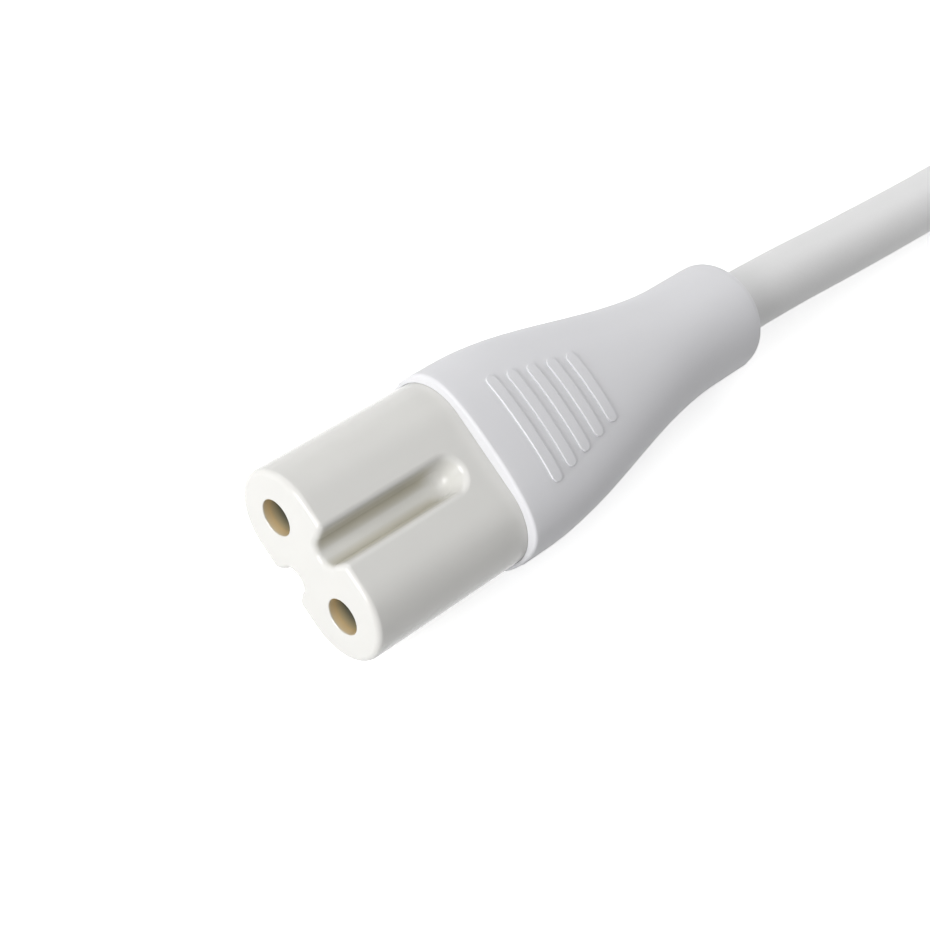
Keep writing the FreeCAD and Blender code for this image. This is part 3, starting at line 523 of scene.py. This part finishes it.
floor_paint, output = new_material("floor_paint")
tree = floor_paint.node_tree
matt = tree.nodes.new("ShaderNodeBsdfDiffuse")
glow = tree.nodes.new("ShaderNodeEmission")
rays = tree.nodes.new("ShaderNodeLightPath")
pale = tree.nodes.new("ShaderNodeMix")
pale.data_type = "RGBA"
pale.inputs["A"].default_value = FLOOR_COLOUR
pale.inputs["B"].default_value = SEEN_FLOOR_COLOUR
tree.links.new(rays.outputs["Is Camera Ray"], pale.inputs["Factor"])
tree.links.new(pale.outputs["Result"], matt.inputs["Color"])
where = tree.nodes.new("ShaderNodeTexCoord")
distance = tree.nodes.new("ShaderNodeVectorMath")
distance.operation = "LENGTH"
tree.links.new(where.outputs["Object"], distance.inputs[0])
rise = tree.nodes.new("ShaderNodeMapRange")
rise.inputs["From Min"].default_value = NEAR_REACH
rise.inputs["From Max"].default_value = FAR_REACH
rise.inputs["To Min"].default_value = NEAR_GLOW
rise.inputs["To Max"].default_value = FAR_GLOW
tree.links.new(distance.outputs["Value"], rise.inputs["Value"])
lit = tree.nodes.new("ShaderNodeMath")
lit.operation = "MULTIPLY"
tree.links.new(seen_rays(tree), lit.inputs[0])
tree.links.new(rise.outputs["Result"], lit.inputs[1])
tree.links.new(lit.outputs[0], glow.inputs["Strength"])
both = tree.nodes.new("ShaderNodeAddShader")
tree.links.new(matt.outputs[0], both.inputs[0])
tree.links.new(glow.outputs[0], both.inputs[1])
tree.links.new(both.outputs[0], output.inputs["Surface"])
floor.data.materials.append(floor_paint)
print("the floor's own white, near and far:", NEAR_GLOW, FAR_GLOW)

# %% [markdown]
# The world stands in for the walls of a white room. It gives a faint even light from all round, which
# keeps the shade from going black, and like the floor it is white only where it is seen.

# %% Set the world
ROOM_LIGHT = 0.09

world = bpy.data.worlds.new("studio")
bpy.context.scene.world = world
world.use_nodes = True
tree = world.node_tree
tree.nodes.clear()
output = tree.nodes.new("ShaderNodeOutputWorld")
sky = tree.nodes.new("ShaderNodeBackground")
sky.inputs["Color"].default_value = (1.0, 1.0, 1.0, 1.0)
level = tree.nodes.new("ShaderNodeMapRange")
level.inputs["To Min"].default_value = ROOM_LIGHT
level.inputs["To Max"].default_value = 1.0
tree.links.new(seen_rays(tree), level.inputs["Value"])
tree.links.new(level.outputs["Result"], sky.inputs["Strength"])
tree.links.new(sky.outputs[0], output.inputs["Surface"])
print("light from all round:", ROOM_LIGHT)

# %% [markdown]
# One large soft lamp stands low in front of the mating face, so that the face and the lip of the grip are
# the brightest parts. Weaker ones low and high on the left light one wall of each groove and leave the
# other in shade, and a faint one on the right opens the shade on the grip's right side. A very wide one
# behind and above draws soft reflections along the top, and a low one at the rear lights the hank and the
# plug. A faint one stands near the camera, and a small one beside it gives the glossy insert its small
# highlights.

# %% Set the lamps
LAMPS = [
    ("front_lamp", (-0.47, 0.05, 0.15), (0.30, 0.30), 2.1),
    ("left_lamp", (0.00, 0.50, 0.18), (0.30, 0.30), 0.40),
    ("right_lamp", (-0.10, -0.48, 0.12), (0.30, 0.30), 0.15),
    ("high_left_lamp", (-0.05, 0.34, 0.46), (0.50, 0.50), 0.80),
    ("camera_lamp", (-0.32, 0.05, 0.44), (0.40, 0.40), 0.35),
    ("back_lamp", (0.30, 0.05, 0.50), (0.90, 0.90), 0.95),
    ("rear_lamp", (0.75, 0.20, 0.22), (0.40, 0.40), 1.5),
    ("spark_lamp", (-0.26, 0.02, 0.42), (0.03, 0.05), 0.08),
]
for name, spot, size, power in LAMPS:
    lamp = bpy.data.lights.new(name, "AREA")
    lamp.shape = "RECTANGLE"
    lamp.size, lamp.size_y = size
    lamp.energy = power
    stand = bpy.data.objects.new(name, lamp)
    bpy.context.scene.collection.objects.link(stand)
    stand.location = spot
    stand.rotation_euler = (Vector((0, 0, 0)) - Vector(spot)).to_track_quat("-Z", "Y").to_euler()
print("lamps:", len(LAMPS))

# %% [markdown]
# Plastics first. They share one recipe, a coloured shader with a faint unevenness, and differ in colour,
# gloss and how fine the surface texture is.

# %% Mix the plastics
MOTTLE_SHADE = 0.965
DULL_AND_GLOSSY = (0.85, 1.15)


def plastic(name, colour, roughness, sheen, mottle, grain, grain_height):
    """A moulded plastic: slightly uneven colour and gloss over a fine surface grain."""
    material, output = new_material(name)
    tree = material.node_tree
    shader = tree.nodes.new("ShaderNodeBsdfPrincipled")
    where = tree.nodes.new("ShaderNodeTexCoord")
    cloud = tree.nodes.new("ShaderNodeTexNoise")
    cloud.inputs["Scale"].default_value = mottle
    cloud.inputs["Detail"].default_value = 3.0
    tree.links.new(where.outputs["Object"], cloud.inputs["Vector"])
    tint = tree.nodes.new("ShaderNodeMix")
    tint.data_type = "RGBA"
    tint.inputs["A"].default_value = (*[c * MOTTLE_SHADE for c in colour], 1.0)
    tint.inputs["B"].default_value = (*colour, 1.0)
    tree.links.new(cloud.outputs["Fac"], tint.inputs["Factor"])
    tree.links.new(tint.outputs["Result"], shader.inputs["Base Color"])
    gloss = tree.nodes.new("ShaderNodeMapRange")
    gloss.inputs["To Min"].default_value = roughness * DULL_AND_GLOSSY[0]
    gloss.inputs["To Max"].default_value = roughness * DULL_AND_GLOSSY[1]
    tree.links.new(cloud.outputs["Fac"], gloss.inputs["Value"])
    tree.links.new(gloss.outputs["Result"], shader.inputs["Roughness"])
    shader.inputs["Specular IOR Level"].default_value = sheen
    skin = tree.nodes.new("ShaderNodeTexNoise")
    skin.inputs["Scale"].default_value = grain
    tree.links.new(where.outputs["Object"], skin.inputs["Vector"])
    bump = tree.nodes.new("ShaderNodeBump")
    bump.inputs["Strength"].default_value = 0.3
    bump.inputs["Distance"].default_value = grain_height
    tree.links.new(skin.outputs["Fac"], bump.inputs["Height"])
    tree.links.new(bump.outputs["Normal"], shader.inputs["Normal"])
    tree.links.new(shader.outputs[0], output.inputs["Surface"])
    return material


PLASTICS = {
    "insert_plastic": ((0.685, 0.68, 0.655), 0.14, 0.5, 300.0, 900.0, 0.00001),
    "grip_vinyl": ((0.715, 0.715, 0.735), 0.45, 0.2, 200.0, 6000.0, 0.00002),
    "lead_jacket": ((0.80, 0.80, 0.80), 0.45, 0.15, 200.0, 4000.0, 0.00002),
    "inner_mould": ((0.80, 0.80, 0.77), 0.5, 0.5, 200.0, 3000.0, 0.00002),
    "brown_insulation": ((0.14, 0.05, 0.02), 0.35, 0.5, 200.0, 3000.0, 0.00001),
    "blue_insulation": ((0.03, 0.16, 0.45), 0.35, 0.5, 200.0, 3000.0, 0.00001),
    "tie_vinyl": ((0.02, 0.02, 0.02), 0.35, 0.5, 200.0, 3000.0, 0.00001),
    "sleeve_plastic": ((0.02, 0.02, 0.02), 0.28, 0.5, 200.0, 3000.0, 0.00001),
}
finishes = {name: plastic(name, *recipe) for name, recipe in PLASTICS.items()}
print("plastics:", ", ".join(finishes))

# %% [markdown]
# The insert is a little translucent. The walls of its pin holes carry painted light and shade: a painted
# warm glow near the mouth, standing in for the brass right behind them, and painted shade that goes dark
# with depth.
# The paint works on distances measured on the piece itself: how far a point lies from a hole's axis, and
# how deep it lies behind the mating face.

# %% Paint light and shade on the walls of the pin holes
# Painted light in the pin holes, by depth behind the face: a warm glow near the mouth, then painted shade.
HOLE_PAINTED_LIGHT = [
    (0.00, (0.69, 0.68, 0.66)), (0.10, (0.82, 0.67, 0.42)), (0.30, (0.78, 0.60, 0.33)),
    (0.50, (0.52, 0.44, 0.28)), (0.72, (0.22, 0.22, 0.17)), (1.00, (0.10, 0.10, 0.08)),
]
HOLE_SHADE_DEPTH = 2.0


def plain_colour(material):
    """A material's tree, its shader, and where the shader's colour comes from so far."""
    tree = material.node_tree
    shader = next(node for node in tree.nodes if node.type == "BSDF_PRINCIPLED")
    return tree, shader, shader.inputs["Base Color"].links[0].from_socket


def vector_step(tree, operation, vector, constant=None):
    """One operation on a vector, with a constant where it needs one."""
    step = tree.nodes.new("ShaderNodeVectorMath")
    step.operation = operation
    tree.links.new(vector, step.inputs[0])
    if constant:
        step.inputs[1].default_value = constant
    return step.outputs["Value"] if operation == "LENGTH" else step.outputs["Vector"]


def parts(tree, vector):
    """The three parts of a vector, by their names."""
    split = tree.nodes.new("ShaderNodeSeparateXYZ")
    tree.links.new(vector, split.inputs[0])
    return split.outputs


def ramp(tree, value, start, end):
    """A value mapped to a share from 0 at the start to 1 at the end, both in millimetres."""
    share = tree.nodes.new("ShaderNodeMapRange")
    share.inputs["From Min"].default_value = start * MM
    share.inputs["From Max"].default_value = end * MM
    tree.links.new(value, share.inputs["Value"])
    return share.outputs["Result"]


def paint_light_in_holes(material):
    """Paint warm light and shade on the walls of the pin holes by their depth, and leave the rest of the
    material as it is.
    """
    tree, shader, plain = plain_colour(material)
    where = tree.nodes.new("ShaderNodeTexCoord").outputs["Object"]
    mirrored = vector_step(tree, "ABSOLUTE", where)
    from_axis = vector_step(tree, "SUBTRACT", mirrored, (0.0, POLES[0] * MM, AXIS_Z * MM))
    across = vector_step(tree, "MULTIPLY", from_axis, (0.0, 1.0, 1.0))
    reach = vector_step(tree, "LENGTH", across)
    inside = ramp(tree, reach, HOLE_RADIUS + 0.03, HOLE_RADIUS + 0.01)
    depth = ramp(tree, parts(tree, where)["X"], FACE_X, FACE_X + HOLE_SHADE_DEPTH)
    painted_light = tree.nodes.new("ShaderNodeValToRGB")
    while len(painted_light.color_ramp.elements) < len(HOLE_PAINTED_LIGHT):
        painted_light.color_ramp.elements.new(0.5)
    for stop, (place, colour) in zip(painted_light.color_ramp.elements, HOLE_PAINTED_LIGHT):
        stop.position = place
        stop.color = (*colour, 1.0)
    tree.links.new(depth, painted_light.inputs["Fac"])
    choice = tree.nodes.new("ShaderNodeMix")
    choice.data_type = "RGBA"
    tree.links.new(inside, choice.inputs["Factor"])
    tree.links.new(plain, choice.inputs["A"])
    tree.links.new(painted_light.outputs["Color"], choice.inputs["B"])
    tree.links.new(choice.outputs["Result"], shader.inputs["Base Color"])


paint_light_in_holes(finishes["insert_plastic"])
print("stops in the holes' tint:", len(HOLE_PAINTED_LIGHT))

# %% [markdown]
# Light bounces from wall to wall in a groove and turns a little warmer each time, and less of it reaches
# deep down. That shade is painted into the colour of the groove's walls: it grows slightly darker and more
# olive with depth below the insert's flat side. The groove's rounded end, which faces the light, keeps its
# plain colour, and so does its bottom.

# %% Paint shade on the walls of the grooves
INSERT_HALF_HEIGHT = 4.44
WALL_MIDDLE = 1.0
GROOVE_RUN = 11.4
# Painted shade, deep on the walls of the grooves: darker and more olive.
GROOVE_PAINTED_SHADE = (0.76, 0.73, 0.62)


def product(tree, first, second):
    """Two shares multiplied."""
    both = tree.nodes.new("ShaderNodeMath")
    both.operation = "MULTIPLY"
    tree.links.new(first, both.inputs[0])
    tree.links.new(second, both.inputs[1])
    return both.outputs[0]


def paint_shade_in_grooves(material):
    """Paint shade on the walls of the grooves: dim and warm the material with depth."""
    tree, shader, plain = plain_colour(material)
    where = tree.nodes.new("ShaderNodeTexCoord").outputs["Object"]
    centred = vector_step(tree, "SUBTRACT", where, (0.0, 0.0, AXIS_Z * MM))
    place = parts(tree, centred)
    distance = parts(tree, vector_step(tree, "ABSOLUTE", centred))
    behind_face = ramp(tree, place["X"], FACE_X + 0.1, FACE_X + 0.7)
    before_end = ramp(tree, place["X"], FACE_X + GROOVE_RUN, FACE_X + GROOVE_RUN - 1.2)
    off_floor = ramp(tree, distance["Y"], WALL_MIDDLE - 0.7, WALL_MIDDLE)
    inside = ramp(tree, distance["Y"], WALL_MIDDLE + 0.8, WALL_MIDDLE + 0.6)
    deep = ramp(tree, distance["Z"], INSERT_HALF_HEIGHT - 0.1, INSERT_HALF_HEIGHT - 0.9)
    tint = tree.nodes.new("ShaderNodeMix")
    tint.data_type = "RGBA"
    tint.blend_type = "MULTIPLY"
    tint.inputs["B"].default_value = (*GROOVE_PAINTED_SHADE, 1.0)
    share = deep
    for limit in (behind_face, before_end, off_floor, inside):
        share = product(tree, share, limit)
    tree.links.new(share, tint.inputs["Factor"])
    tree.links.new(plain, tint.inputs["A"])
    tree.links.new(tint.outputs["Result"], shader.inputs["Base Color"])


paint_shade_in_grooves(finishes["insert_plastic"])
print("groove tint:", GROOVE_PAINTED_SHADE)

# %% [markdown]
# The metals are drawn and rolled, so their gloss is uneven along the length rather than in blotches.

# %% Mix the metals
STREAK_STRETCH = (0.08, 1.0, 1.0)
STREAK_SHADE = 0.75
STREAK_GLOSS = (0.6, 1.4)


def metal(name, colour, roughness, streak):
    """A drawn or rolled metal, with faint streaks along its length."""
    material, output = new_material(name)
    tree = material.node_tree
    shader = tree.nodes.new("ShaderNodeBsdfPrincipled")
    shader.inputs["Metallic"].default_value = 1.0
    where = tree.nodes.new("ShaderNodeTexCoord")
    stretch = tree.nodes.new("ShaderNodeMapping")
    stretch.inputs["Scale"].default_value = STREAK_STRETCH
    tree.links.new(where.outputs["Object"], stretch.inputs["Vector"])
    lines = tree.nodes.new("ShaderNodeTexNoise")
    lines.inputs["Scale"].default_value = streak
    lines.inputs["Detail"].default_value = 4.0
    tree.links.new(stretch.outputs[0], lines.inputs["Vector"])
    tint = tree.nodes.new("ShaderNodeMix")
    tint.data_type = "RGBA"
    tint.inputs["A"].default_value = (*[c * STREAK_SHADE for c in colour], 1.0)
    tint.inputs["B"].default_value = (*colour, 1.0)
    tree.links.new(lines.outputs["Fac"], tint.inputs["Factor"])
    tree.links.new(tint.outputs["Result"], shader.inputs["Base Color"])
    gloss = tree.nodes.new("ShaderNodeMapRange")
    gloss.inputs["To Min"].default_value = roughness * STREAK_GLOSS[0]
    gloss.inputs["To Max"].default_value = roughness * STREAK_GLOSS[1]
    tree.links.new(lines.outputs["Fac"], gloss.inputs["Value"])
    tree.links.new(gloss.outputs["Result"], shader.inputs["Roughness"])
    tree.links.new(shader.outputs[0], output.inputs["Surface"])
    return material


METALS = {
    "contact_brass": ((0.75, 0.55, 0.28), 0.32, 2500.0),
    "copper": ((0.72, 0.36, 0.20), 0.30, 4000.0),
    "pin_nickel": ((0.70, 0.69, 0.66), 0.22, 2500.0),
}
finishes.update({name: metal(name, *recipe) for name, recipe in METALS.items()})
print("metals:", ", ".join(METALS))

# %% [markdown]
# Each measured solid that is still shown takes its finish from the table below, and each new piece takes
# its own.

# %% Give every solid its finish
NODE_FINISHES = {
    "inner_mould": ["connector_inner_mould", "plug_bridge"],
    "contact_brass": ["contact_left", "contact_right"],
    "copper": [f"strands_{c}_{end}" for c in ("brown", "blue") for end in ("connector", "plug")],
    "brown_insulation": ["core_brown_connector", "core_brown_plug"],
    "blue_insulation": ["core_blue_connector", "core_blue_plug"],
    "pin_nickel": ["plug_pin_left", "plug_pin_right"],
    "sleeve_plastic": ["pin_sleeve_left", "pin_sleeve_right"],
}
for finish, names in NODE_FINISHES.items():
    for name in names:
        nodes[name].data.materials.clear()
        nodes[name].data.materials.append(finishes[finish])
insert.data.materials.append(finishes["insert_plastic"])
lead.data.materials.append(finishes["lead_jacket"])
for piece in (grip, thumb_bars, grip_line, plug):
    piece.data.materials.append(finishes["grip_vinyl"])
for piece in (tie_band, tie_ends):
    piece.data.materials.append(finishes["tie_vinyl"])
print("solids finished:", sum(len(names) for names in NODE_FINISHES.values()))

# %% [markdown]
# Last, the scene is brought up to date.

# %% Bring the scene up to date
bpy.context.view_layer.update()
